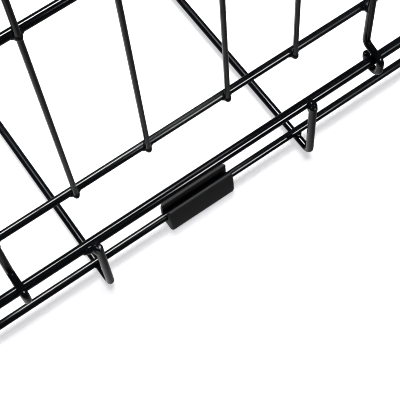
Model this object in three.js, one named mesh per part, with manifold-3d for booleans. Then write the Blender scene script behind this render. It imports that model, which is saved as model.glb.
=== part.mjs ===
// Folding wire luggage rack: a welded wire base that doubles as a lower shelf, three wire panels
// that hang on its rims by bent hooks and fold flat inwards, and a lift-off deck for the luggage.
// Millimetres, +Z up. The floor is z = 0, the base is centred on X and Y, and -Y is the open front.
import * as THREE from 'three';
import { mergeVertices } from 'three/addons/utils/BufferGeometryUtils.js';
import Module from 'manifold-3d';

const wasm = await Module();
wasm.setup();

// ---------------------------------------------------------------- driving dimensions
const baseLength = 620;        // along X, over the turned-up ends of the floor wires
const baseWidth = 430;         // along Y, over the turned-up ends of the cross wires
const panelTop = 440;          // centre of every panel's top rail
const endRimHeight = 47.4;     // centre of the left and front rims
const rimStep = 12.5;          // each further panel hangs this much higher, so that they stack

const floorWireD = 4;          // floor wires and cross wires
const lowerRailD = floorWireD;  // one wire size, so crossing rails touch each other and what they rest on
const rimD = 5;                // rims and corner posts
const panelRailD = 3.8;
const hookD = 3.8;             // upright that carries a hinge hook
const sideWireD = 3.8;         // upright at a panel's edge
const infillD = 2.4;
const deckRailD = 5;
const slatD = 3;
const fittingD = 4;            // locators, back stop and carrying bail

const weldGap = 0.3;           // between wires that are separate solids
const weldSink = 0.3;          // how far welded wires of one grille sink into each other
const hookPlay = 0.5;          // between a hinge hook and its rim
const eyePlay = 0.15;          // between a bail's or stop's eye and the corners of its rail's section

const rimOut = 6.5;            // rim centre, outward of the lower rail
const panelIn = 4.1;           // panel rail centre, inward of the lower rail
const railAboveRim = 33.5;     // lowest panel rail above its rim
const floorClearance = 3.7;    // under the floor wires
const floorPitch = 120;        // between the two inner floor wires
const crossPitch = 200;        // between the cross wires
const endInfillPlaces = [-140, -58, -21, 21, 58, 140];
const infillPitch = 40;        // back panel and deck slats
const edgeMargin = 21.7;       // outer floor wire and end panel edge, in from the lower rail
const backMargin = 16.7;       // back panel edge, in from the lower rail
const endHookPlaces = [-100, 98.4];
const backHookPlaces = [-220, -60, 60, 220];
const legRise = 3;             // wire ends above the rim centre
const wireStub = 2;            // infill below the lowest rail's centre
const railStub = 2.5;          // rail past the edge upright
const floorBend = 3.6;         // bend radius at the centre of a floor wire
const lowerRailStub = 1;       // lower rail past the inside of the rim
const joggleTop = 7.6;         // a hook's joggle starts this far above its rim's centre
const joggleFoot = 4.2;        // and ends this far above it
const curlDrop = 2.5;          // centre of a hook's curl below its rim's centre
const joggleBend = 3.2;
const deckMidRail = 66;        // inner deck rails, from the middle
const deckRailStub = 3;        // deck rail past the rail that it crosses
const slatStub = 4;            // slat past the outer long rails

const footLength = 38;
const endFootPlace = 1;        // end feet, off the middle towards the back
const footHalfWidth = 5.4;
const footTaper = 0.6;         // from the belly to the shoulder
const footSoleHalf = 3.2;
const footLipHeight = 8.2;     // above the rail centre
const footNeck = 0.1;          // each lip closes over the rail by this much
const footLipThickness = 1.5;
const sideFootInset = 80;      // in from the end rails

const stopHeight = 50;
const stopHalfWidth = 240;
const stopSleeveHalf = 150;
const stopSleeveD = 10;
const stopBend = 12;
const bailHalfWidth = 66;
const bailDrop = 34;
const bailArmDrop = 14;        // arm's lower bend below the rim's centre
const bailBend = 5;
const gripHalf = 50;
const gripD = 11;
const locatorPlace = 120;
const locatorDepth = 10;       // below the panel's top rail centre
const locatorReach = 16;       // inward of the panel's rails
const locatorBend = 4;
const eyeSweep = (260 / 180) * Math.PI;

const wireSides = 8;
const thinSides = 6;
const bendSteps = 3;
const eyeSteps = 16;

// ---------------------------------------------------------------- places worked out from them
const legOut = rimOut + rimD / 2 + floorWireD / 2 + weldGap;
const railX = baseLength / 2 - floorWireD / 2 - legOut;
const railY = baseWidth / 2 - floorWireD / 2 - legOut;
const floorZ = floorClearance + floorWireD / 2;
const crossZ = floorZ + floorWireD + weldGap;
const endRailZ = floorZ + (floorWireD + lowerRailD) / 2 + weldGap;
const sideRailZ = Math.max(endRailZ + lowerRailD, crossZ + (floorWireD + lowerRailD) / 2) + weldGap;
const rimHeight = {
  left: endRimHeight,
  right: endRimHeight + rimStep,
  back: endRimHeight + 2 * rimStep,
  front: endRimHeight,
};
const postX = railX + rimOut - rimD - weldGap;
const postY = railY + rimOut - rimD - weldGap;
const deckEndZ = panelTop + panelRailD / 2 + weldGap + deckRailD / 2;
const deckLongZ = deckEndZ + deckRailD - weldSink;
const slatZ = deckLongZ + (deckRailD + slatD) / 2 - weldSink;

// ---------------------------------------------------------------- materials
const coatedWire = { color: 0x17181b, roughness: 0.28, metalness: 0.0 };
const rubber = { color: 0x2b2b2d, roughness: 0.75, metalness: 0.0 };

function named(name, geometry, finish) {
  const mesh = new THREE.Mesh(geometry, new THREE.MeshStandardMaterial(finish));
  mesh.name = name;
  return mesh;
}

// ---------------------------------------------------------------- wires
const at = (x, y, z) => new THREE.Vector3(x, y, z);

// Points of a bend that replaces a corner, from one tangent point to the other.
function bendPoints(before, corner, after, radius) {
  const back = before.clone().sub(corner).normalize();
  const ahead = after.clone().sub(corner).normalize();
  const reach = radius / Math.tan(back.angleTo(ahead) / 2);
  const arc = new THREE.QuadraticBezierCurve3(
    corner.clone().addScaledVector(back, reach), corner, corner.clone().addScaledVector(ahead, reach));
  return arc.getPoints(bendSteps);
}

function roundCorners(corners, radius) {
  const points = [corners[0]];
  for (let i = 1; i < corners.length - 1; i += 1) {
    points.push(...bendPoints(corners[i - 1], corners[i], corners[i + 1], radius));
  }
  points.push(corners[corners.length - 1]);
  return points;
}

// A centre line through a list of points, sampled only at those points.
class WireLine extends THREE.Curve {
  constructor(points) {
    super();
    this.points = points;
  }

  getPoint(t) {
    return this.points[Math.round(t * (this.points.length - 1))].clone();
  }

  getPointAt(t) {
    return this.getPoint(t);
  }

  getTangentAt(t) {
    const i = Math.round(t * (this.points.length - 1));
    const ahead = this.points[Math.min(i + 1, this.points.length - 1)].clone();
    const here = this.points[i];
    const behind = this.points[Math.max(i - 1, 0)];
    const out = ahead.clone().sub(here).normalize();
    const into = here.clone().sub(behind).normalize();
    return out.add(into).normalize();
  }
}

const cornerReach = (diameter, sides) => diameter / 2 / Math.cos(Math.PI / sides);
const eyeRadius = (railD) => cornerReach(railD, wireSides) + fittingD / 2 + eyePlay;

// A regular section whose flats are as far apart as the round wire is thick.
function roundSection(diameter, sides) {
  const reach = cornerReach(diameter, sides);
  const corners = Array.from({ length: sides }, (_, i) => {
    const angle = ((i + 0.5) / sides) * 2 * Math.PI;
    return new THREE.Vector2(Math.cos(angle), Math.sin(angle)).multiplyScalar(reach);
  });
  return new THREE.Shape(corners);
}

function wire(points, diameter, sides = wireSides) {
  return new THREE.ExtrudeGeometry(roundSection(diameter, sides), {
    extrudePath: new WireLine(points),
    steps: points.length - 1,
    bevelEnabled: false,
  });
}

const bentWire = (corners, diameter, radius) => wire(roundCorners(corners, radius), diameter);
const alongX = (half, y, z, diameter, sides) => wire([at(-half, y, z), at(half, y, z)], diameter, sides);
const alongY = (half, x, z, diameter, sides) => wire([at(x, -half, z), at(x, half, z)], diameter, sides);

// ---------------------------------------------------------------- joining welded wires
function solid(geometry) {
  const bare = geometry.clone();
  bare.deleteAttribute('normal');
  bare.deleteAttribute('uv');
  const merged = mergeVertices(bare, 1e-4);
  return new wasm.Manifold(new wasm.Mesh({
    numProp: 3,
    vertProperties: Float32Array.from(merged.attributes.position.array),
    triVerts: Uint32Array.from(merged.index.array),
  }));
}

function weld(geometries) {
  const whole = geometries.map(solid).reduce((sum, next) => sum.add(next));
  const mesh = whole.getMesh();
  const geometry = new THREE.BufferGeometry();
  geometry.setAttribute('position', new THREE.BufferAttribute(mesh.vertProperties, 3));
  geometry.setIndex(new THREE.BufferAttribute(mesh.triVerts, 1));
  geometry.computeVertexNormals();
  return geometry;
}

// Both signs of each place on a pitch that starts half a pitch out, clear of the taken places.
function pitchPlaces(pitch, half, taken = []) {
  const places = [];
  for (let place = pitch / 2; place < half - pitch / 4; place += pitch) {
    places.push(-place, place);
  }
  return places.filter((place) => taken.every((other) => Math.abs(place - other) > pitch / 4));
}

// ---------------------------------------------------------------- sides
// A side's own frame: x runs along it, y points outward from its lower rail, z is height.
function sideFrame(side) {
  const places = {
    left: [-railX, 0, Math.PI / 2],
    right: [railX, 0, -Math.PI / 2],
    back: [0, railY, 0],
    front: [0, -railY, Math.PI],
  };
  const [x, y, turn] = places[side];
  const group = new THREE.Group();
  group.position.set(x, y, 0);
  group.rotation.z = turn;
  return group;
}

// ---------------------------------------------------------------- base
function floorWires() {
  const group = new THREE.Group();
  const outer = railY - edgeMargin;
  const legX = railX + legOut;
  [-outer, -floorPitch / 2, floorPitch / 2, outer].forEach((y, i) => {
    const path = [
      at(-legX, y, rimHeight.left + legRise), at(-legX, y, floorZ),
      at(legX, y, floorZ), at(legX, y, rimHeight.right + legRise),
    ];
    group.add(named(`floor_wire_${i + 1}`, bentWire(path, floorWireD, floorBend), coatedWire));
  });
  return group;
}

function crossWires() {
  const group = new THREE.Group();
  const legY = railY + legOut;
  [-crossPitch / 2, crossPitch / 2].forEach((x, i) => {
    const path = [
      at(x, -legY, rimHeight.front + legRise), at(x, -legY, crossZ),
      at(x, legY, crossZ), at(x, legY, rimHeight.back + legRise),
    ];
    group.add(named(`cross_wire_${i + 1}`, bentWire(path, floorWireD, floorBend), coatedWire));
  });
  return group;
}

function lowerRails() {
  const group = new THREE.Group();
  const past = rimOut - rimD / 2 + lowerRailStub;
  for (const side of [-1, 1]) {
    const end = side < 0 ? 'left' : 'right';
    const long = side < 0 ? 'front' : 'back';
    const endRail = alongY(railY + past, side * railX, endRailZ, lowerRailD);
    const longRail = alongX(railX + past, side * railY, sideRailZ, lowerRailD);
    group.add(named(`lower_rail_${end}`, endRail, coatedWire));
    group.add(named(`lower_rail_${long}`, longRail, coatedWire));
  }
  return group;
}

function rims() {
  const group = new THREE.Group();
  const endHalf = railY + rimOut - rimD / 2 - weldGap;
  const longHalf = railX + rimOut - rimD / 2 - weldGap;
  for (const side of ['left', 'right']) {
    const place = sideFrame(side);
    place.add(named(`rim_${side}`, alongX(endHalf, rimOut, rimHeight[side], rimD), coatedWire));
    group.add(place);
  }
  for (const side of ['front', 'back']) {
    const place = sideFrame(side);
    place.add(named(`rim_${side}`, alongX(longHalf, rimOut, rimHeight[side], rimD), coatedWire));
    group.add(place);
  }
  return group;
}

function cornerPosts() {
  const group = new THREE.Group();
  const bottom = sideRailZ + lowerRailD / 2 + weldGap;
  for (const end of ['left', 'right']) {
    for (const long of ['front', 'back']) {
      const x = end === 'left' ? -postX : postX;
      const y = long === 'front' ? -postY : postY;
      const top = Math.max(rimHeight[end], rimHeight[long]) + legRise;
      const post = wire([at(x, y, bottom), at(x, y, top)], rimD);
      group.add(named(`corner_post_${end}_${long}`, post, coatedWire));
    }
  }
  return group;
}

// Section of a clip foot: a bulb that stands on the floor, with two thin lips over the rail.
function footSection(railZ) {
  const bore = lowerRailD / 2 + weldGap;
  const slotHalf = bore - footNeck;
  const lipTop = railZ + footLipHeight;
  const belly = railZ * 0.5;
  const shoulder = railZ + bore / 2;
  const boreStart = Math.asin(slotHalf / bore);
  const shape = new THREE.Shape();
  shape.moveTo(-footSoleHalf, 0);
  shape.lineTo(footSoleHalf, 0);
  shape.quadraticCurveTo(footHalfWidth, 0, footHalfWidth, belly);
  shape.quadraticCurveTo(footHalfWidth, railZ, footHalfWidth - footTaper, shoulder);
  shape.lineTo(slotHalf + footLipThickness, lipTop);
  shape.lineTo(slotHalf, lipTop);
  shape.absarc(0, railZ, bore, Math.PI / 2 - boreStart, Math.PI / 2 + boreStart, true);
  shape.lineTo(-slotHalf, lipTop);
  shape.lineTo(-slotHalf - footLipThickness, lipTop);
  shape.lineTo(footTaper - footHalfWidth, shoulder);
  shape.quadraticCurveTo(-footHalfWidth, railZ, -footHalfWidth, belly);
  shape.quadraticCurveTo(-footHalfWidth, 0, -footSoleHalf, 0);
  return shape;
}

function foot(name, x, y, railZ, turn) {
  const geometry = new THREE.ExtrudeGeometry(footSection(railZ), {
    depth: footLength, bevelEnabled: false, curveSegments: 4,
  });
  geometry.translate(0, 0, -footLength / 2);
  geometry.rotateX(Math.PI / 2);
  const mesh = named(name, geometry, rubber);
  mesh.position.set(x, y, 0);
  mesh.rotation.z = turn;
  return mesh;
}

function feet() {
  const group = new THREE.Group();
  const sideX = railX - sideFootInset;
  group.add(foot('foot_left', -railX, endFootPlace, endRailZ, 0));
  group.add(foot('foot_right', railX, endFootPlace, endRailZ, 0));
  for (const end of [-1, 1]) {
    for (const side of [-1, 1]) {
      const name = `foot_${side < 0 ? 'front' : 'back'}_${end < 0 ? 'left' : 'right'}`;
      group.add(foot(name, end * sideX, side * railY, sideRailZ, Math.PI / 2));
    }
  }
  return group;
}

// ---------------------------------------------------------------- folding panels
function panelRailHeights(rimZ) {
  const lowest = rimZ + railAboveRim;
  const gap = (panelTop - lowest) / 3;
  return [lowest, lowest + gap, lowest + 2 * gap, panelTop];
}

function grille(rimZ, edge, places) {
  const heights = panelRailHeights(rimZ);
  const half = edge + sideWireD / 2 + railStub;
  const infillY = -panelIn + (panelRailD + infillD) / 2 - weldSink;
  const edgeY = -panelIn + (panelRailD + sideWireD) / 2 - weldSink;
  const bottom = heights[0] - wireStub;
  const top = panelTop + panelRailD / 4;
  const upright = (x, y, diameter, sides) => wire([at(x, y, bottom), at(x, y, top)], diameter, sides);
  const rails = heights.map((z) => alongX(half, -panelIn, z, panelRailD));
  const edges = [-edge, edge].map((x) => upright(x, edgeY, sideWireD));
  const infill = places.map((x) => upright(x, infillY, infillD, thinSides));
  return weld([...rails, ...edges, ...infill]);
}

// Upright welded outside the rails, joggled outward over the rim and curled back under it.
function hook(x, rimZ) {
  const loop = rimD / 2 + hookD / 2 + hookPlay;
  const uprightY = -panelIn + (panelRailD + hookD) / 2 + weldGap;
  const loopZ = rimZ - curlDrop;
  const curl = [];
  for (let i = 1; i <= 8; i += 1) {
    const angle = -(i / 8) * Math.PI;
    curl.push(at(x, rimOut + loop * Math.cos(angle), loopZ + loop * Math.sin(angle)));
  }
  const fall = roundCorners([
    at(x, uprightY, panelTop + panelRailD / 4), at(x, uprightY, rimZ + joggleTop),
    at(x, rimOut + loop, rimZ + joggleFoot), at(x, rimOut + loop, loopZ),
  ], joggleBend);
  return wire([...fall, ...curl, at(x, rimOut - loop, rimZ)], hookD);
}

function panel(side, edge, infillPlaces, hookPlaces, hookNames) {
  const group = sideFrame(side);
  const rimZ = rimHeight[side];
  group.add(named(`${side}_grille`, grille(rimZ, edge, infillPlaces), coatedWire));
  hookPlaces.forEach((x, i) => {
    group.add(named(`${side}_hook_${hookNames[i]}`, hook(x, rimZ), coatedWire));
  });
  return group;
}

function panels() {
  const group = new THREE.Group();
  const endEdge = railY - edgeMargin;
  const backEdge = railX - backMargin;
  const backInfill = pitchPlaces(infillPitch, backEdge, backHookPlaces);
  group.add(panel('left', endEdge, endInfillPlaces, endHookPlaces, ['front', 'rear']));
  group.add(panel('right', endEdge, endInfillPlaces, endHookPlaces, ['rear', 'front']));
  group.add(panel('back', backEdge, backInfill, backHookPlaces, ['1', '2', '3', '4']));
  return group;
}

// ---------------------------------------------------------------- luggage deck
function deckGrille() {
  const endX = railX - panelIn;
  const longY = railY - panelIn;
  const ends = [-endX, endX].map((x) => alongY(longY + deckRailStub, x, deckEndZ, deckRailD));
  const rails = [-longY, -deckMidRail, deckMidRail, longY].map(
    (y) => alongX(endX + deckRailStub, y, deckLongZ, deckRailD));
  const slats = pitchPlaces(infillPitch, endX).map(
    (x) => alongY(longY + slatStub, x, slatZ, slatD, thinSides));
  return weld([...ends, ...rails, ...slats]);
}

// Short wire over the deck's end rail that drops outside the end panel's top rail.
function locator(name, side, x) {
  const group = sideFrame(side);
  const drop = -panelIn + Math.max(panelRailD, deckRailD) / 2 + hookPlay + fittingD / 2;
  const lie = deckEndZ + (deckRailD + fittingD) / 2 + weldGap;
  const path = [
    at(x, -panelIn - locatorReach, lie), at(x, drop, lie), at(x, drop, panelTop - locatorDepth),
  ];
  group.add(named(name, bentWire(path, fittingD, locatorBend), coatedWire));
  return group;
}

// Open eye in the plane across a rail, ending where the wire leaves it on the +Y side.
function eye(x, y, z, radius, turn) {
  const points = [];
  for (let i = 0; i <= eyeSteps; i += 1) {
    const angle = turn * eyeSweep * (1 - i / eyeSteps);
    points.push(at(x, y + radius * Math.cos(angle), z + radius * Math.sin(angle)));
  }
  return points;
}

function stopBar() {
  const radius = eyeRadius(deckRailD);
  const y = railY - panelIn;
  const top = deckLongZ + stopHeight;
  const start = eye(-stopHalfWidth, y, deckLongZ, radius, -1);
  const end = eye(stopHalfWidth, y, deckLongZ, radius, -1).reverse();
  const bar = roundCorners([
    start[start.length - 1], at(-stopHalfWidth, y + radius, top),
    at(stopHalfWidth, y + radius, top), end[0],
  ], stopBend);
  return wire([...start.slice(0, -1), ...bar, ...end.slice(1)], fittingD);
}

function sleeve(half, outer, bore, y, z) {
  const ring = new THREE.Shape().absarc(0, 0, outer / 2, 0, 2 * Math.PI, false);
  ring.holes.push(new THREE.Path().absarc(0, 0, bore / 2, 0, 2 * Math.PI, true));
  const geometry = new THREE.ExtrudeGeometry(ring, {
    depth: 2 * half, bevelEnabled: false, curveSegments: 12,
  });
  geometry.rotateY(Math.PI / 2);
  geometry.translate(-half, y, z);
  return geometry;
}

function deck() {
  const group = new THREE.Group();
  group.add(named('deck_grille', deckGrille(), coatedWire));
  group.add(locator('locator_left_front', 'left', -locatorPlace));
  group.add(locator('locator_left_rear', 'left', locatorPlace));
  group.add(locator('locator_right_rear', 'right', -locatorPlace));
  group.add(locator('locator_right_front', 'right', locatorPlace));
  const barY = railY - panelIn + eyeRadius(deckRailD);
  const bore = fittingD + 2 * weldGap;
  group.add(named('stop_bar', stopBar(), coatedWire));
  group.add(named('stop_sleeve',
    sleeve(stopSleeveHalf, stopSleeveD, bore, barY, deckLongZ + stopHeight), rubber));
  return group;
}

// ---------------------------------------------------------------- carrying handle
// Bail on the front rim: its arms run straight down past the rim, then in to the lower rail, on which
// its grip rests.
function handle() {
  const group = sideFrame('front');
  const rimZ = rimHeight.front;
  const radius = eyeRadius(rimD);
  const gripY = lowerRailD / 2 + weldGap + gripD / 2;
  const low = rimZ - bailDrop;
  const start = eye(-bailHalfWidth, rimOut, rimZ, radius, 1);
  const end = eye(bailHalfWidth, rimOut, rimZ, radius, 1).reverse();
  const pastRim = (x) => at(x, rimOut + radius, rimZ - rimD);
  const arm = (x) => at(x, gripY, rimZ - bailArmDrop);
  const bail = roundCorners([
    start[start.length - 1], pastRim(-bailHalfWidth), arm(-bailHalfWidth), at(-bailHalfWidth, gripY, low),
    at(bailHalfWidth, gripY, low), arm(bailHalfWidth), pastRim(bailHalfWidth), end[0],
  ], bailBend);
  const path = [...start.slice(0, -1), ...bail, ...end.slice(1)];
  group.add(named('handle_bail', wire(path, fittingD), coatedWire));
  const bore = fittingD + 2 * weldGap;
  group.add(named('handle_grip', sleeve(gripHalf, gripD, bore, gripY, low), rubber));
  return group;
}

const rack = new THREE.Group();
rack.add(floorWires(), crossWires(), lowerRails(), rims(), cornerPosts(), feet());
rack.add(panels(), deck(), handle());
export default rack;
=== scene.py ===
# Folding wire luggage rack: glossy coated wires, weld beads, rubber clip feet and sleeves.
import math

import bmesh
import bpy
from mathutils import Matrix, Quaternion, Vector


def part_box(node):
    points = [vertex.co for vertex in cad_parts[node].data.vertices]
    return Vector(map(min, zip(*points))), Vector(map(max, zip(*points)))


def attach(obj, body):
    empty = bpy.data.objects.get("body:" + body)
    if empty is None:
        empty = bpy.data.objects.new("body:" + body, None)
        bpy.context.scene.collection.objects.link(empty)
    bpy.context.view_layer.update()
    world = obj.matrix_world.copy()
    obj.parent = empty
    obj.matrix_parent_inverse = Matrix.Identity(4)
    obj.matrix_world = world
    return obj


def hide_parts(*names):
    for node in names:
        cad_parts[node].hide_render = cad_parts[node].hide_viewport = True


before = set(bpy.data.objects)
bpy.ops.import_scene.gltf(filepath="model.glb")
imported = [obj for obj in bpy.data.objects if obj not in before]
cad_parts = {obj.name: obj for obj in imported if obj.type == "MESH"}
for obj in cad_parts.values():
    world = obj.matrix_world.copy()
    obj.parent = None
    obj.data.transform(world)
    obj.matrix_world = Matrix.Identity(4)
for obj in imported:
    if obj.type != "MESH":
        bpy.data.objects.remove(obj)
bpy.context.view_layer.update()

MM = 0.001

# ---------------------------------------------------------------- sizes the frame doesn't give
FLOOR_BEND = 3.6 * MM          # bend radius at the centre of a floor wire
LEG_RISE = 3.0 * MM            # wire end above the rim's centre
PANEL_IN = 4.1 * MM            # panel rail, inward of the lower rail
RIM_OUT = 6.5 * MM             # rim, outward of the lower rail
RAIL_ABOVE_RIM = 33.5 * MM     # lowest panel rail above its rim
INFILL_PITCH = 40.0 * MM
END_INFILL = (-140 * MM, -58 * MM, -21 * MM, 21 * MM, 58 * MM, 140 * MM)
RAIL_STUB = 2.5 * MM           # rail past the edge upright
JOGGLE_TOP = 7.6 * MM          # a hook's joggle, from this far above its rim's centre
JOGGLE_FOOT = 4.2 * MM         # to this far above it
JOGGLE_BEND = 3.2 * MM
HOOK_PLAY = 0.5 * MM           # between a hook and its rim
HOOK_DROP = 2.5 * MM           # a hook's curl is centred this far below its rim's centre
WELD_GAP = 0.3 * MM
PANEL_RAIL = 3.8 * MM          # wire thicknesses
HOOK_WIRE = 3.8 * MM
INFILL_WIRE = 2.4 * MM
DECK_RAIL = 5.0 * MM
SLAT_WIRE = 3.0 * MM
FITTING_WIRE = 4.0 * MM
DECK_MID_RAIL = 66.0 * MM
DECK_END_PAST = 3.0 * MM       # end rail past the outer long rail
LOCATOR_BEND = 4.0 * MM
STOP_BEND = 12.0 * MM
BAIL_BEND = 3.0 * MM
BAIL_ARM = 14.0 * MM           # bend of a handle arm, below the rim's centre
EYE_PLAY = 0.36 * MM           # between an eye and the rail inside it
WIRE_SIDES = 20

# ---------------------------------------------------------------- places read from the frame


def middle(node):
    low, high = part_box(node)
    return (low + high) / 2


def extent(node):
    low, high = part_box(node)
    return high - low


RAIL_X = middle("lower_rail_right").x
RAIL_Y = middle("lower_rail_back").y
RIM_Z = {side: middle(f"rim_{side}").z for side in ("left", "right", "back", "front")}
RIM_WIRE = extent("rim_left").x
LOWER_RAIL = extent("lower_rail_left").x
# Known fault: half a rail is right here. A quarter sets the top rails 0.95 mm above the CAD's.
PANEL_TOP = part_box("left_grille")[1].z - PANEL_RAIL / 4


def side_frame(side):
    """Matrix from a side's own axes: x along it, y outward from its lower rail, z up."""
    spot, turn = {
        "left": ((-RAIL_X, 0, 0), 90),
        "right": ((RAIL_X, 0, 0), -90),
        "back": ((0, RAIL_Y, 0), 0),
        "front": ((0, -RAIL_Y, 0), 180),
    }[side]
    return Matrix.Translation(spot) @ Matrix.Rotation(math.radians(turn), 4, "Z")


# ---------------------------------------------------------------- nodes, colours and finishes


def add_node(tree, kind, values=None, links=None, **settings):
    """Adds one node: settings by attribute, values by socket, links as socket -> output socket."""
    node = tree.nodes.new(kind)
    for key, value in settings.items():
        setattr(node, key, value)
    for socket, value in (values or {}).items():
        node.inputs[socket].default_value = value
    for socket, source in (links or {}).items():
        tree.links.new(source, node.inputs[socket])
    return node


def srgb(code):
    """sRGB hex to linear RGBA."""
    parts = [int(code[i:i + 2], 16) / 255 for i in (1, 3, 5)]
    linear = [c / 12.92 if c <= 0.04045 else ((c + 0.055) / 1.055) ** 2.4 for c in parts]
    return (*linear, 1.0)


def new_material(name):
    material = bpy.data.materials.new(name)
    material.use_nodes = True
    tree = material.node_tree
    tree.nodes.clear()
    shader = add_node(tree, "ShaderNodeBsdfPrincipled")
    add_node(tree, "ShaderNodeOutputMaterial", links={"Surface": shader.outputs[0]})
    place = add_node(tree, "ShaderNodeTexCoord").outputs["Object"]
    return material, tree, shader, place


def ramp(tree, source, low, high, dark, light):
    """A colour that runs from dark to light as the source runs from low to high."""
    node = add_node(tree, "ShaderNodeValToRGB", links={"Fac": source})
    node.color_ramp.elements[0].position = low
    node.color_ramp.elements[0].color = dark
    node.color_ramp.elements[1].position = high
    node.color_ramp.elements[1].color = light
    return node.outputs["Color"]


def noise(tree, place, size, detail=2.0, rough=0.5):
    """Noise whose grain is about size metres across."""
    node = add_node(tree, "ShaderNodeTexNoise", {"Scale": 1 / size, "Detail": detail, "Roughness": rough},
                    {"Vector": place})
    return node.outputs["Fac"]


def grey(value):
    return (value, value, value, 1.0)


def black_epoxy(name, smooth, dull):
    """Steel dipped in black epoxy: near-black and glossy, with a faint orange peel that breaks
    the thin highlights a little and lets patches of the coat look slightly drier."""
    material, tree, shader, place = new_material(name)
    shader.inputs["IOR"].default_value = 1.5
    shader.inputs["Specular IOR Level"].default_value = 0.25
    tone = ramp(tree, noise(tree, place, 9 * MM), 0.35, 0.7, srgb("#06080c"), srgb("#0e1116"))
    dry = ramp(tree, noise(tree, place, 2.2 * MM, 3.0), 0.3, 0.75, grey(smooth), grey(dull))
    tree.links.new(tone, shader.inputs["Base Color"])
    tree.links.new(dry, shader.inputs["Roughness"])
    peel = add_node(tree, "ShaderNodeBump", {"Strength": 0.06, "Distance": 0.05 * MM},
                    {"Height": noise(tree, place, 0.7 * MM, 3.0)})
    tree.links.new(peel.outputs[0], shader.inputs["Normal"])
    return material


def moulded_rubber():
    """Moulded EPDM rubber: charcoal, dry and fine-grained, paler where it has rubbed."""
    material, tree, shader, place = new_material("moulded epdm rubber")
    shader.inputs["IOR"].default_value = 1.5
    shader.inputs["Specular IOR Level"].default_value = 0.35
    grain = noise(tree, place, 0.5 * MM, 4.0, 0.65)
    rubbed = noise(tree, place, 6 * MM, 3.0)
    mixed = add_node(tree, "ShaderNodeMath", {}, {0: grain, 1: rubbed}, operation="MULTIPLY")
    tone = ramp(tree, mixed.outputs[0], 0.12, 0.42, srgb("#19191b"), srgb("#262627"))
    tree.links.new(tone, shader.inputs["Base Color"])
    tree.links.new(ramp(tree, rubbed, 0.3, 0.7, grey(0.58), grey(0.72)), shader.inputs["Roughness"])
    pores = add_node(tree, "ShaderNodeBump", {"Strength": 0.25, "Distance": 0.08 * MM}, {"Height": grain})
    tree.links.new(pores.outputs[0], shader.inputs["Normal"])
    return material


COATED = black_epoxy("epoxy coated steel wire", 0.045, 0.10)
WELD_COAT = black_epoxy("epoxy coat thinned over a weld", 0.30, 0.42)
RUBBER = moulded_rubber()

# ---------------------------------------------------------------- geometry node trees


def new_geometry_tree(name, inputs):
    """A geometry tree with a geometry input, the given (name, kind, value) inputs and one output."""
    tree = bpy.data.node_groups.new(name, "GeometryNodeTree")
    tree.interface.new_socket("Geometry", in_out="INPUT", socket_type="NodeSocketGeometry")
    for label, kind, value in inputs:
        socket = tree.interface.new_socket(label, in_out="INPUT", socket_type=kind)
        if value is not None:
            socket.default_value = value
    tree.interface.new_socket("Geometry", in_out="OUTPUT", socket_type="NodeSocketGeometry")
    return tree, add_node(tree, "NodeGroupInput")


def close_tree(tree, source, geometry):
    """Ends a tree: instances made real, faces smooth, finish set."""
    real = add_node(tree, "GeometryNodeRealizeInstances", links={0: geometry})
    smooth = add_node(tree, "GeometryNodeSetShadeSmooth", links={"Geometry": real.outputs[0]})
    finish = add_node(tree, "GeometryNodeSetMaterial",
                      links={"Geometry": smooth.outputs[0], "Material": source.outputs["Finish"]})
    add_node(tree, "NodeGroupOutput", links={0: finish.outputs[0]})
    return tree


def wire_tree():
    """Sweeps a round section along every spline; a spline's point radius is the wire's radius."""
    tree, source = new_geometry_tree("drawn wire", [
        ("Sides", "NodeSocketInt", WIRE_SIDES), ("Finish", "NodeSocketMaterial", None)])
    section = add_node(tree, "GeometryNodeCurvePrimitiveCircle", {"Radius": 1.0},
                       {"Resolution": source.outputs["Sides"]})
    sweep = add_node(tree, "GeometryNodeCurveToMesh", {"Fill Caps": True},
                     {"Curve": source.outputs["Geometry"], "Profile Curve": section.outputs[0]})
    if "Scale" in sweep.inputs:
        tree.links.new(add_node(tree, "GeometryNodeInputRadius").outputs[0], sweep.inputs["Scale"])
    return close_tree(tree, source, sweep.outputs[0])


def weld_tree():
    """Puts a weld bead on every point, stretched by the point's own size."""
    tree, source = new_geometry_tree("weld beads", [
        ("Smoothness", "NodeSocketInt", 3), ("Finish", "NodeSocketMaterial", None)])
    bead = add_node(tree, "GeometryNodeMeshIcoSphere", {"Radius": 1.0},
                    {"Subdivisions": source.outputs["Smoothness"]})
    size = add_node(tree, "GeometryNodeInputNamedAttribute", {"Name": "size"}, data_type="FLOAT_VECTOR")
    beads = add_node(tree, "GeometryNodeInstanceOnPoints", {}, {
        "Points": source.outputs["Geometry"], "Instance": bead.outputs[0], "Scale": size.outputs[0]})
    return close_tree(tree, source, beads.outputs[0])


WIRE_TREE = wire_tree()
WELD_TREE = weld_tree()


def settle(name, source, tree, settings):
    """Runs a geometry tree on an object, its inputs set by name, and keeps the result as a plain mesh."""
    modifier = source.modifiers.new("shape", "NODES")
    modifier.node_group = tree
    for item in tree.interface.items_tree:
        if item.in_out == "INPUT" and item.name in settings:
            modifier[item.identifier] = settings[item.name]
    bpy.context.view_layer.update()
    graph = bpy.context.evaluated_depsgraph_get()
    mesh = bpy.data.meshes.new_from_object(source.evaluated_get(graph))
    bpy.data.objects.remove(source)
    return add_object(name, mesh)


def add_object(name, mesh):
    mesh.name = name
    piece = bpy.data.objects.new(name, mesh)
    bpy.context.scene.collection.objects.link(piece)
    return piece


def keep(piece, body, slot, *nodes):
    """Makes a finished piece ride on its body and stand for its CAD nodes."""
    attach(piece, body)
    if nodes:
        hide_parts(*nodes)
    return piece


# ---------------------------------------------------------------- wires


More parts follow.
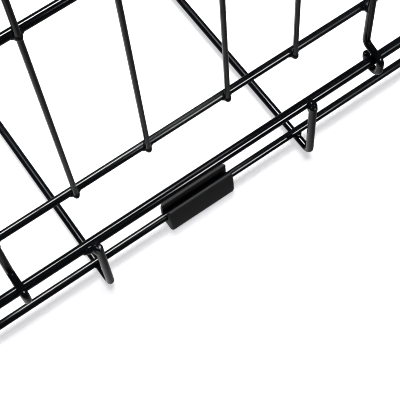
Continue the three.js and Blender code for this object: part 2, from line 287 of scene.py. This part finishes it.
def rounded(corners, radius, steps=8):
    """Corner points with each inner corner turned into an arc of the given radius."""
    points = [corners[0]]
    for before, corner, after in zip(corners, corners[1:], corners[2:]):
        back = (before - corner).normalized()
        ahead = (after - corner).normalized()
        half = back.angle(ahead) / 2
        middle_way = (back + ahead).normalized()
        centre = corner + middle_way * (radius / math.sin(half))
        start = corner + back * (radius / math.tan(half)) - centre
        stop = corner + ahead * (radius / math.tan(half)) - centre
        axis = start.cross(stop).normalized()
        sweep = start.angle(stop)
        for i in range(steps + 1):
            points.append(centre + Quaternion(axis, sweep * i / steps) @ start)
    points.append(corners[-1])
    return points


def domed(points, radius):
    """Points and radii of a wire whose cut ends are softened by the coat."""
    dome = 0.55 * radius           # how far the softened end reaches back along the wire
    steps = 5
    first = (points[0] - points[1]).normalized()
    last = (points[-1] - points[-2]).normalized()

    def cap(end, way):
        ring = []
        for i in range(1, steps + 1):
            turn = math.radians(90) * i / (steps + 0.35)
            along = end - way * dome * (1 - math.sin(turn))
            ring.append((along, radius - dome + dome * math.cos(turn)))
        return [(end - way * dome, radius), *ring]

    body = [(point, radius) for point in points[1:-1]]
    return [*reversed(cap(points[0], first)), *body, *cap(points[-1], last)]


def wires(name, paths, place=None):
    """One mesh piece of round wires. Each path is (points, thickness)."""
    curve = bpy.data.curves.new(name, "CURVE")
    curve.dimensions = "3D"
    for points, thickness in paths:
        if place is not None:
            points = [place @ point for point in points]
        stations = domed(points, thickness / 2)
        spline = curve.splines.new("POLY")
        spline.points.add(len(stations) - 1)
        for spot, (point, radius) in zip(spline.points, stations):
            spot.co = (*point, 1.0)
            spot.radius = radius
    source = bpy.data.objects.new(name, curve)
    bpy.context.scene.collection.objects.link(source)
    return settle(name, source, WIRE_TREE, {"Finish": COATED})


def weld_beads(name, beads, place=None, finish=COATED, smoothness=2):
    """One mesh piece of weld beads. Each bead is (centre, half sizes)."""
    turn = place or Matrix.Identity(4)
    mesh = bpy.data.meshes.new(name)
    mesh.from_pydata([turn @ centre for centre, _ in beads], [], [])
    sizes = mesh.attributes.new("size", "FLOAT_VECTOR", "POINT")
    for item, (_, size) in zip(sizes.data, beads):
        item.vector = [abs(part) for part in turn.to_3x3() @ size]
    source = bpy.data.objects.new(name, mesh)
    bpy.context.scene.collection.objects.link(source)
    return settle(name, source, WELD_TREE, {"Finish": finish, "Smoothness": smoothness})


def straight(node):
    """Path of a straight CAD wire, from its box."""
    size = extent(node)
    low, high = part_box(node)
    axis = max(range(3), key=lambda i: size[i])
    start, stop = middle(node), middle(node)
    start[axis], stop[axis] = low[axis], high[axis]
    return [start, stop], min(size)


# ---------------------------------------------------------------- base


def tray_wire(node, axis):
    """Path of a floor or cross wire: flat along one axis, both ends bent up to the rims."""
    low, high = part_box(node)
    thick = min(extent(node))
    half = thick / 2
    first = "left" if axis == 0 else "front"
    second = "right" if axis == 0 else "back"
    across = middle(node)[1 - axis]
    spots = [
        (low[axis] + half, RIM_Z[first] + LEG_RISE), (low[axis] + half, low.z + half),
        (high[axis] - half, low.z + half), (high[axis] - half, RIM_Z[second] + LEG_RISE),
    ]
    corners = [Vector((a, across, z)) if axis == 0 else Vector((across, a, z)) for a, z in spots]
    return rounded(corners, FLOOR_BEND), thick


def base_wires():
    for node in [f"floor_wire_{i}" for i in range(1, 5)]:
        keep(wires(f"{node}_coated", [tray_wire(node, 0)]), "base", "coated_wire", node)
    for node in ("cross_wire_1", "cross_wire_2"):
        keep(wires(f"{node}_coated", [tray_wire(node, 1)]), "base", "coated_wire", node)
    plain = [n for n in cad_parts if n.startswith(("lower_rail", "rim_", "corner_post"))]
    for node in sorted(plain):
        keep(wires(f"{node}_coated", [straight(node)]), "base", "coated_wire", node)


# Beads at the top of a leg in mm: place along the rim, outward of the lower rail and above the rim's
# centre, then half sizes.
# The weld runs along the rim beside every other leg, and up over the rim at the ones between.
LEG_WELDS = (
    (
        (Vector((0.9, 10.0, -0.6)), Vector((2.3, 2.9, 4.2))),
        (Vector((2.9, 8.5, -0.7)), Vector((4.5, 1.9, 2.5))),
    ),
    (
        (Vector((-0.7, 10.0, -0.8)), Vector((2.4, 2.9, 4.2))),
        (Vector((-0.7, 9.5, 0.6)), Vector((2.6, 2.9, 2.9))),
    ),
)


def base_welds():
    """Beads where legs meet rims, rails lie on wires and corner posts meet rims and rails."""
    beads = []
    along_wires = [middle(f"floor_wire_{i}").y for i in range(1, 5)]
    across_wires = [middle(f"cross_wire_{i}").x for i in (1, 2)]
    end_rail_z, side_rail_z = middle("lower_rail_left").z, middle("lower_rail_back").z
    flat = Vector((2.9, 2.9, 1.1)) * MM
    on_end_rim = Vector((1.5, 2.8, 2.6)) * MM
    on_side_rim = Vector((2.8, 1.5, 2.6)) * MM
    under_post = Vector((2.9, 2.9, 1.2)) * MM
    unturned = Matrix.Identity(4)
    for side, spots in (("left", along_wires), ("right", along_wires),
                        ("front", across_wires), ("back", across_wires)):
        place = side_frame(side)
        level = end_rail_z if side in ("left", "right") else side_rail_z
        for count, spot in enumerate(spots):
            x = spot if side in ("left", "back") else -spot
            beads += [(place @ (Vector((x, 0, RIM_Z[side])) + offset * MM), size * MM, place)
                      for offset, size in LEG_WELDS[count % 2]]
            beads.append((place @ Vector((x, 0, level - LOWER_RAIL / 2)), flat, place))
    for side in ("left", "right"):
        for end in ("front", "back"):
            post = middle(f"corner_post_{side}_{end}")
            rim = Vector((math.copysign(RAIL_X + RIM_OUT - RIM_WIRE / 2, post.x), post.y, RIM_Z[side]))
            beads.append((rim, on_end_rim, unturned))
            rim = Vector((post.x, math.copysign(RAIL_Y + RIM_OUT - RIM_WIRE / 2, post.y), RIM_Z[end]))
            beads.append((rim, on_side_rim, unturned))
            foot = Vector((post.x, post.y, side_rail_z + LOWER_RAIL / 2))
            beads.append((foot, under_post, unturned))
            cross = Vector((math.copysign(RAIL_X, post.x), math.copysign(RAIL_Y, post.y),
                            side_rail_z - LOWER_RAIL / 2))
            beads.append((cross, flat, unturned))
    for x in across_wires:
        for y in along_wires:
            beads.append((Vector((x, y, end_rail_z - LOWER_RAIL / 2)), flat, unturned))
    turned_beads = [(centre, place.to_3x3() @ size) for centre, size, place in beads]
    keep(weld_beads("base_welds", turned_beads, smoothness=3), "base", "coated_wire")


# ---------------------------------------------------------------- clip feet


def moulded(node, shape):
    """A rubber piece from its finished bmesh, which is used up."""
    name = f"{node}_moulded"
    mesh = bpy.data.meshes.new(name)
    shape.to_mesh(mesh)
    shape.free()
    mesh.polygons.foreach_set("use_smooth", [True] * len(mesh.polygons))
    mesh.materials.append(RUBBER)
    return add_object(name, mesh)


FOOT_SOLE_HALF = 3.2 * MM
FOOT_LIP_RISE = 8.2 * MM
FOOT_NECK = 0.1 * MM
FOOT_LIP = 1.5 * MM
FOOT_END_ROUND = 1.5 * MM


def bezier(start, pull, stop, steps):
    """Points of a quadratic curve, without its first point."""
    points = []
    for i in range(1, steps + 1):
        t = i / steps
        points.append(start * (1 - t) ** 2 + pull * (2 * t * (1 - t)) + stop * t ** 2)
    return points


def foot_half_section(rail_z, half_width):
    """Outer and inner outline of a foot's +x half, from the sole to the lip and back down the slot."""
    bore = LOWER_RAIL / 2 + WELD_GAP
    slot = bore - FOOT_NECK
    lip_z = rail_z + FOOT_LIP_RISE
    sole = Vector((FOOT_SOLE_HALF, 0))
    belly = Vector((half_width, rail_z * 0.5))
    outer = [Vector((0, 0)), sole]
    outer += bezier(sole, Vector((half_width, 0)), belly, 8)
    lip_edge = Vector((slot + FOOT_LIP, lip_z - 0.5 * FOOT_LIP))
    outer += bezier(belly, Vector((half_width, rail_z + 0.35 * FOOT_LIP_RISE)), lip_edge, 14)
    outer += bezier(lip_edge, Vector((slot + FOOT_LIP, lip_z)), Vector((slot + 0.5 * FOOT_LIP, lip_z)), 4)
    start = math.asin(slot / bore)
    inner = bezier(outer[-1], Vector((slot, lip_z)), Vector((slot, lip_z - 0.5 * FOOT_LIP)), 4)
    for i in range(13):
        angle = math.pi / 2 - start - (math.pi - start) * i / 12
        inner.append(Vector((bore * math.cos(angle), rail_z + bore * math.sin(angle))))
    return outer, inner


def clip_foot(node, along_y):
    """Moulded clip foot: a bulb with two thin lips over its rail, its outer ends rounded."""
    rail_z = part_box(node)[1].z - FOOT_LIP_RISE
    size = extent(node)
    half_width = min(size.x, size.y) / 2
    half_length = max(size.x, size.y) / 2
    outer, inner = foot_half_section(rail_z, half_width)
    core = Vector((0, rail_z * 0.55))
    ring = bmesh.new()
    stations = []
    for i in range(7):
        turn = math.radians(90) * i / 6
        shrink = FOOT_END_ROUND * (1 - math.sin(turn))
        stations.append((half_length - FOOT_END_ROUND * (1 - math.cos(turn)), shrink))
    stations = [(-x, s) for x, s in stations] + [(x, s) for x, s in reversed(stations)]
    rows = []
    for x, shrink in stations:
        right = []
        for point in outer:
            pull = (core - point)
            right.append(point + pull.normalized() * min(shrink, 0.45 * pull.length))
        right[0] = Vector((0, right[0].y))
        right += inner
        left = [Vector((-p.x, p.y)) for p in reversed(right[1:-1])]
        rows.append([ring.verts.new((p.x, x, p.y)) for p in right + left])
    count = len(rows[0])
    for row, following in zip(rows, rows[1:]):
        for i in range(count):
            j = (i + 1) % count
            ring.faces.new((row[i], row[j], following[j], following[i]))
    ring.faces.new(rows[0])
    ring.faces.new(rows[-1])
    bmesh.ops.recalc_face_normals(ring, faces=ring.faces)
    turn = Matrix.Rotation(0 if along_y else math.pi / 2, 4, "Z")
    centre = middle(node)
    ring.transform(Matrix.Translation((centre.x, centre.y, 0)) @ turn)
    piece = moulded(node, ring)
    soften = piece.modifiers.new("mould edges", "BEVEL")
    soften.width = 0.25 * MM
    soften.segments = 2
    soften.limit_method = "ANGLE"
    soften.angle_limit = math.radians(35)
    return keep(piece, "base", "rubber", node)


def feet():
    for node in sorted(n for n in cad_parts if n.startswith("foot_")):
        size = extent(node)
        clip_foot(node, size.y > size.x)


# ---------------------------------------------------------------- panels
# A fillet runs along the rail on both sides of an upright, a collar wraps the two where they cross.
FILLET_SPREAD = 1.9 * MM       # past the upright, along the rail
FILLET_DEPTH = 1.5 * MM
FILLET_RISE = 1.9 * MM
FILLET_SINK = 0.5 * MM         # its centre, inside the rail's face
COLLAR_SPREAD = 0.7 * MM
COLLAR_DEPTH = 1.7 * MM        # past half the distance between the two wires
COLLAR_OUT = 0.1 * MM          # its centre, outward of the midpoint between them
COLLAR_RISE = 2.7 * MM
COLLAR_RISE_TOP = 1.9 * MM     # under the deck


def pitch_places(half, taken=()):
    """Both signs of each place on the infill pitch, clear of the taken places."""
    places = []
    place = INFILL_PITCH / 2
    while place < half - INFILL_PITCH / 4:
        places += [-place, place]
        place += INFILL_PITCH
    return [p for p in places if all(abs(p - other) > INFILL_PITCH / 4 for other in taken)]


def hook_path(x, rim_z):
    """Upright, joggled out over the rim, down outside it and curled back under it."""
    loop = RIM_WIRE / 2 + HOOK_WIRE / 2 + HOOK_PLAY
    upright = -PANEL_IN + PANEL_RAIL / 2 + HOOK_WIRE / 2 + WELD_GAP
    loop_z = rim_z - HOOK_DROP
    fall = rounded([
        Vector((x, upright, PANEL_TOP + PANEL_RAIL / 4)), Vector((x, upright, rim_z + JOGGLE_TOP)),
        Vector((x, RIM_OUT + loop, rim_z + JOGGLE_FOOT)), Vector((x, RIM_OUT + loop, loop_z)),
    ], JOGGLE_BEND)
    curl = []
    for i in range(1, 17):
        angle = -math.pi * i / 16
        curl.append(Vector((x, RIM_OUT + loop * math.cos(angle), loop_z + loop * math.sin(angle))))
    return [*fall, *curl, Vector((x, RIM_OUT - loop, rim_z))], HOOK_WIRE


def panel(side, hooks):
    """A folding panel: its grille, its hook uprights and the beads between them."""
    place = side_frame(side)
    rim_z = RIM_Z[side]
    body = f"{side}_panel"
    size = extent(f"{side}_grille")
    half = max(size.x, size.y) / 2
    edge = half - RAIL_STUB - HOOK_WIRE / 2
    lowest = rim_z + RAIL_ABOVE_RIM
    heights = [lowest + (PANEL_TOP - lowest) * i / 3 for i in range(4)]
    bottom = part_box(f"{side}_grille")[0].z
    top = PANEL_TOP + PANEL_RAIL / 4
    infill_y = -PANEL_IN + (PANEL_RAIL + INFILL_WIRE) / 2 - WELD_GAP
    edge_y = -PANEL_IN + (PANEL_RAIL + HOOK_WIRE) / 2 - WELD_GAP
    hook_places = [hook_x for hook_x, _ in hooks]
    paths = [([Vector((-half, -PANEL_IN, z)), Vector((half, -PANEL_IN, z))], PANEL_RAIL) for z in heights]
    uprights = [(x, edge_y, HOOK_WIRE) for x in (-edge, edge)]
    infill = pitch_places(edge, hook_places) if side == "back" else END_INFILL
    uprights += [(x, infill_y, INFILL_WIRE) for x in infill]
    paths += [([Vector((x, y, bottom)), Vector((x, y, top))], thick) for x, y, thick in uprights]
    keep(wires(f"{side}_grille_coated", paths, place), body, "coated_wire", f"{side}_grille")
    for x, node in hooks:
        keep(wires(f"{node}_coated", [hook_path(x, rim_z)], place), body, "coated_wire", node)
    beads = []
    fillet_y = -PANEL_IN + PANEL_RAIL / 2 - FILLET_SINK
    for z in heights:
        collar_rise = COLLAR_RISE_TOP if z == heights[-1] else COLLAR_RISE
        for x, y, thick in uprights + [(x, 0, HOOK_WIRE) for x in hook_places]:
            fillet = Vector((thick / 2 + FILLET_SPREAD, FILLET_DEPTH, FILLET_RISE))
            beads.append((Vector((x, fillet_y, z)), fillet))
            collar = Vector((thick / 2 + COLLAR_SPREAD, (PANEL_IN + y) / 2 + COLLAR_DEPTH, collar_rise))
            beads.append((Vector((x, (y - PANEL_IN) / 2 + COLLAR_OUT, z)), collar))
    keep(weld_beads(f"{side}_panel_welds", beads, place, WELD_COAT), body, "coated_wire")


def hook_nodes(side):
    """A side's hooks as (place along the side, node)."""
    nodes = sorted(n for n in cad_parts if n.startswith(f"{side}_hook_"))
    into = side_frame(side).inverted()
    return [((into @ middle(n)).x, n) for n in nodes]


# ---------------------------------------------------------------- luggage deck


def deck():
    low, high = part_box("deck_grille")
    end_x = RAIL_X - PANEL_IN
    long_y = RAIL_Y - PANEL_IN
    end_z = low.z + DECK_RAIL / 2
    long_z = end_z + DECK_RAIL - WELD_GAP
    slat_z = long_z + (DECK_RAIL + SLAT_WIRE) / 2 - WELD_GAP
    end_half = long_y + DECK_END_PAST
    slat_half = high.y
    long_rails = (-long_y, -DECK_MID_RAIL, DECK_MID_RAIL, long_y)
    slats = pitch_places(end_x)
    paths = [([Vector((x, -end_half, end_z)), Vector((x, end_half, end_z))], DECK_RAIL)
             for x in (-end_x, end_x)]
    paths += [([Vector((low.x, y, long_z)), Vector((high.x, y, long_z))], DECK_RAIL) for y in long_rails]
    paths += [([Vector((x, -slat_half, slat_z)), Vector((x, slat_half, slat_z))], SLAT_WIRE)
              for x in slats]
    keep(wires("deck_grille_coated", paths), "deck", "coated_wire", "deck_grille")
    beads = []
    on_end_rail = Vector((3.2, 3.2, 1.3)) * MM
    under_slat = Vector((2.3, 2.6, 1.2)) * MM
    under_locator = Vector((3.0, 2.9, 1.2)) * MM
    for y in long_rails:
        for x in (-end_x, end_x):
            beads.append((Vector((x, y, end_z + DECK_RAIL / 2)), on_end_rail))
        for x in slats:
            beads.append((Vector((x, y, long_z + DECK_RAIL / 2)), under_slat))
    for node in sorted(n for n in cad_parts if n.startswith("locator_")):
        spot = middle(node)
        rest = Vector((math.copysign(end_x, spot.x), spot.y, end_z + DECK_RAIL / 2))
        beads.append((rest, under_locator))
        keep(wires(f"{node}_coated", [locator_path(node)]), "deck", "coated_wire", node)
    keep(weld_beads("deck_welds", beads), "deck", "coated_wire")


def locator_path(node):
    """Short wire over the deck's end rail, bent down outside the panel's top rail."""
    low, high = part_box(node)
    half = FITTING_WIRE / 2
    y = middle(node).y
    outer, inner = (low.x + half, high.x) if low.x < 0 else (high.x - half, low.x)
    corners = [Vector((inner, y, high.z - half)), Vector((outer, y, high.z - half)),
               Vector((outer, y, low.z))]
    return rounded(corners, LOCATOR_BEND), FITTING_WIRE


def eye_points(x, y, z, radius, turn):
    """Open eye in the plane across a rail, ending where the wire leaves it on the +y side."""
    sweep = math.radians(260)
    points = []
    for i in range(25):
        angle = turn * sweep * (1 - i / 24)
        points.append(Vector((x, y + radius * math.cos(angle), z + radius * math.sin(angle))))
    return points


def back_stop():
    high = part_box("stop_bar")[1]
    half = high.x - FITTING_WIRE / 2
    radius = (DECK_RAIL + FITTING_WIRE) / 2 + EYE_PLAY
    y = RAIL_Y - PANEL_IN
    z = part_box("deck_grille")[0].z + 1.5 * DECK_RAIL - WELD_GAP
    top = high.z - FITTING_WIRE / 2
    first = eye_points(-half, y, z, radius, -1)
    last = list(reversed(eye_points(half, y, z, radius, -1)))
    corners = [Vector((-half, y + radius, top)), Vector((half, y + radius, top))]
    bar = rounded([first[-1], *corners, last[0]], STOP_BEND)
    path = (first[:-1] + bar + last[1:], FITTING_WIRE)
    keep(wires("stop_bar_coated", [path]), "back_stop", "coated_wire", "stop_bar")
    grip_sleeve("stop_sleeve", "back_stop", 0.6 * MM, 9)


# ---------------------------------------------------------------- carrying handle


def handle():
    low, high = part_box("handle_bail")
    place = side_frame("front")
    half = high.x - FITTING_WIRE / 2
    radius = (RIM_WIRE + FITTING_WIRE) / 2 + EYE_PLAY
    rim_z = RIM_Z["front"]
    drop_z = low.z + FITTING_WIRE / 2
    grip_y = -middle("handle_grip").y - RAIL_Y
    first = eye_points(-half, RIM_OUT, rim_z, radius, 1)
    last = list(reversed(eye_points(half, RIM_OUT, rim_z, radius, 1)))
    arm_z = rim_z - BAIL_ARM
    past_rim = RIM_OUT + radius
    bend_z = rim_z - RIM_WIRE
    bail = rounded([
        first[-1], Vector((-half, past_rim, bend_z)), Vector((-half, grip_y, arm_z)),
        Vector((-half, grip_y, drop_z)), Vector((half, grip_y, drop_z)), Vector((half, grip_y, arm_z)),
        Vector((half, past_rim, bend_z)), last[0],
    ], BAIL_BEND)
    path = (first[:-1] + bail + last[1:], FITTING_WIRE)
    keep(wires("handle_bail_coated", [path], place), "handle", "coated_wire", "handle_bail")
    grip_sleeve("handle_grip", "handle", 0.7 * MM, 13)


def grip_sleeve(node, body, end_round, ribs):
    """Rubber sleeve on a wire: rounded ends and shallow grip grooves round its middle."""
    centre = middle(node)
    outer = extent(node).y / 2
    bore = FITTING_WIRE / 2 + WELD_GAP
    half = extent(node).x / 2
    profile = [(-half, bore), (-half, outer - end_round)]
    profile += [(-half + end_round * (1 - math.cos(a)), outer - end_round + end_round * math.sin(a))
                for a in (math.radians(30 * i) for i in range(1, 4))]
    groove, depth = 1.6 * MM, 0.55 * MM
    grooved = 1.3 * half           # length between the first groove and the last
    for i in range(ribs):
        spot = -grooved / 2 + grooved * i / (ribs - 1)
        for step in range(-4, 5):
            dip = depth * (math.cos(math.pi * step / 4) + 1) / 2
            profile.append((spot + groove * step / 8, outer - dip))
    profile += [(-x, r) for x, r in reversed(profile[:5])]
    shape = bmesh.new()
    sides = 40
    rows = []
    for x, r in profile:
        angles = [2 * math.pi * k / sides for k in range(sides)]
        rows.append([shape.verts.new((centre.x + x, centre.y + r * math.cos(a), centre.z + r * math.sin(a)))
                     for a in angles])
    for row, following in zip(rows, rows[1:] + rows[:1]):
        for k in range(sides):
            m = (k + 1) % sides
            shape.faces.new((row[k], row[m], following[m], following[k]))
    bmesh.ops.recalc_face_normals(shape, faces=shape.faces)
    return keep(moulded(node, shape), body, "rubber", node)


# ---------------------------------------------------------------- studio
SOFT_BOX_DISTANCE = 3.0
PALE_SIDE = (0.57, 0.82, 0.0)  # way to the side where the sky is palest near the floor
# Name, way to it from the left end rail, size in metres and radiance. The edges are dim and wide.
SOFT_BOXES = (
    ("far_box", (0.37, -0.03, 0.93), (0.78, 0.66), 62),
    ("far_box_edge", (0.42, -0.08, 0.90), (1.15, 1.10), 9),
    ("near_box", (-0.725, -0.30, 0.62), (0.75, 0.70), 36),
    ("near_box_edge", (-0.70, -0.34, 0.60), (1.30, 0.80), 9),
)
CAMERA_LENS = 97.03
CAMERA_OUT = 200.7 * MM        # outward of the left end rail
CAMERA_ALONG = 109.2 * MM
CAMERA_HEIGHT = 491.3 * MM
CAMERA_AHEAD = Vector((0.3725, -0.2031, -0.9055))
CAMERA_UP = Vector((0.7303, -0.5380, 0.4211))


def white_floor():
    """Plain white floor. Part of its light is its own, so that shadows on it stay pale."""
    mesh = bpy.data.meshes.new("studio_floor")
    reach = 30.0
    mesh.from_pydata([(-reach, -reach, 0), (reach, -reach, 0), (reach, reach, 0), (-reach, reach, 0)],
                     [], [(0, 1, 2, 3)])
    floor = add_object("studio_floor", mesh)
    material, _, shader, _ = new_material("studio floor paper")
    shader.inputs["Base Color"].default_value = srgb("#f4f4f6")
    shader.inputs["Roughness"].default_value = 0.9
    shader.inputs["Specular IOR Level"].default_value = 0.0
    shader.inputs["Emission Color"].default_value = srgb("#fdfdff")
    shader.inputs["Emission Strength"].default_value = 0.60
    mesh.materials.append(material)
    floor.visible_glossy = False
    floor.visible_diffuse = False


def aim(lamp, place, target):
    """Puts a lamp at a place, turned to shine on the target."""
    lamp.location = place
    lamp.rotation_mode = "QUATERNION"
    lamp.rotation_quaternion = (place - target).to_track_quat("Z", "Y")


def soft_box(name, target, way, size, radiance):
    """Rectangular lamp that shows only in the gloss of the coat: size along Y, then across it."""
    lamp = bpy.data.lights.new(name, "AREA")
    lamp.shape = "RECTANGLE"
    lamp.size, lamp.size_y = size
    lamp.energy = radiance * math.pi * size[0] * size[1]
    box = bpy.data.objects.new(name, lamp)
    bpy.context.scene.collection.objects.link(box)
    aim(box, target + Vector(way).normalized() * SOFT_BOX_DISTANCE, target)
    box.visible_camera = False
    box.visible_diffuse = False
    return box


def studio_light():
    """A key lamp almost overhead for the shadows, soft boxes for the gloss and a sky that is dim above
    and paler towards the horizon on one side."""
    lamp = bpy.data.lights.new("key", "SUN")
    lamp.energy = 3.0
    lamp.angle = math.radians(27)
    key = bpy.data.objects.new("key", lamp)
    bpy.context.scene.collection.objects.link(key)
    aim(key, Vector((0.09, -0.10, 1.0)), Vector((0, 0, 0)))
    key.visible_glossy = False
    for name, way, size, radiance in SOFT_BOXES:
        soft_box(name, Vector((-RAIL_X, 0, 0)), way, size, radiance)
    world = bpy.data.worlds.new("studio")
    bpy.context.scene.world = world
    world.use_nodes = True
    tree = world.node_tree
    tree.nodes.clear()
    way = add_node(tree, "ShaderNodeTexCoord").outputs["Generated"]
    height = add_node(tree, "ShaderNodeSeparateXYZ", links={0: way}).outputs["Z"]
    toward = add_node(tree, "ShaderNodeVectorMath", {1: PALE_SIDE}, {0: way}, operation="DOT_PRODUCT")
    below = ramp(tree, half_up(tree, toward.outputs["Value"]), 0.3, 0.75, grey(0.16), grey(0.9))
    share = ramp(tree, half_up(tree, height), 0.12, 0.34, grey(1.0), grey(0.0))
    sky = add_node(tree, "ShaderNodeMix", {"A": grey(0.06)}, {"Factor": share, "B": below},
                   data_type="RGBA")
    glow = add_node(tree, "ShaderNodeBackground", {"Strength": 1.0}, {"Color": sky.outputs["Result"]})
    add_node(tree, "ShaderNodeOutputWorld", links={"Surface": glow.outputs[0]})


def half_up(tree, source):
    """Turns a value of -1 to 1 into 0 to 1."""
    node = add_node(tree, "ShaderNodeMath", {1: 0.5, 2: 0.5}, {0: source}, operation="MULTIPLY_ADD")
    return node.outputs[0]


def camera():
    """Looks steeply down from beyond the left end, over the middle foot of that end."""
    data = bpy.data.cameras.new("camera")
    data.sensor_width = 36
    data.lens = CAMERA_LENS
    data.clip_start = 0.01
    data.clip_end = 100
    spot = bpy.data.objects.new("camera", data)
    bpy.context.scene.collection.objects.link(spot)
    ahead = CAMERA_AHEAD.normalized()
    right = ahead.cross(CAMERA_UP).normalized()
    up = right.cross(ahead)
    turn = Matrix((right, up, -ahead)).transposed()
    spot.location = Vector((-RAIL_X - CAMERA_OUT, CAMERA_ALONG, CAMERA_HEIGHT))
    spot.rotation_mode = "QUATERNION"
    spot.rotation_quaternion = turn.to_quaternion()
    bpy.context.scene.camera = spot


camera()
base_wires()
base_welds()
feet()
for panel_side in ("left", "right", "back"):
    panel(panel_side, hook_nodes(panel_side))
deck()
back_stop()
handle()
white_floor()
studio_light()
bpy.context.scene.view_settings.view_transform = "Standard"
bpy.context.scene.cycles.filter_width = 1.0
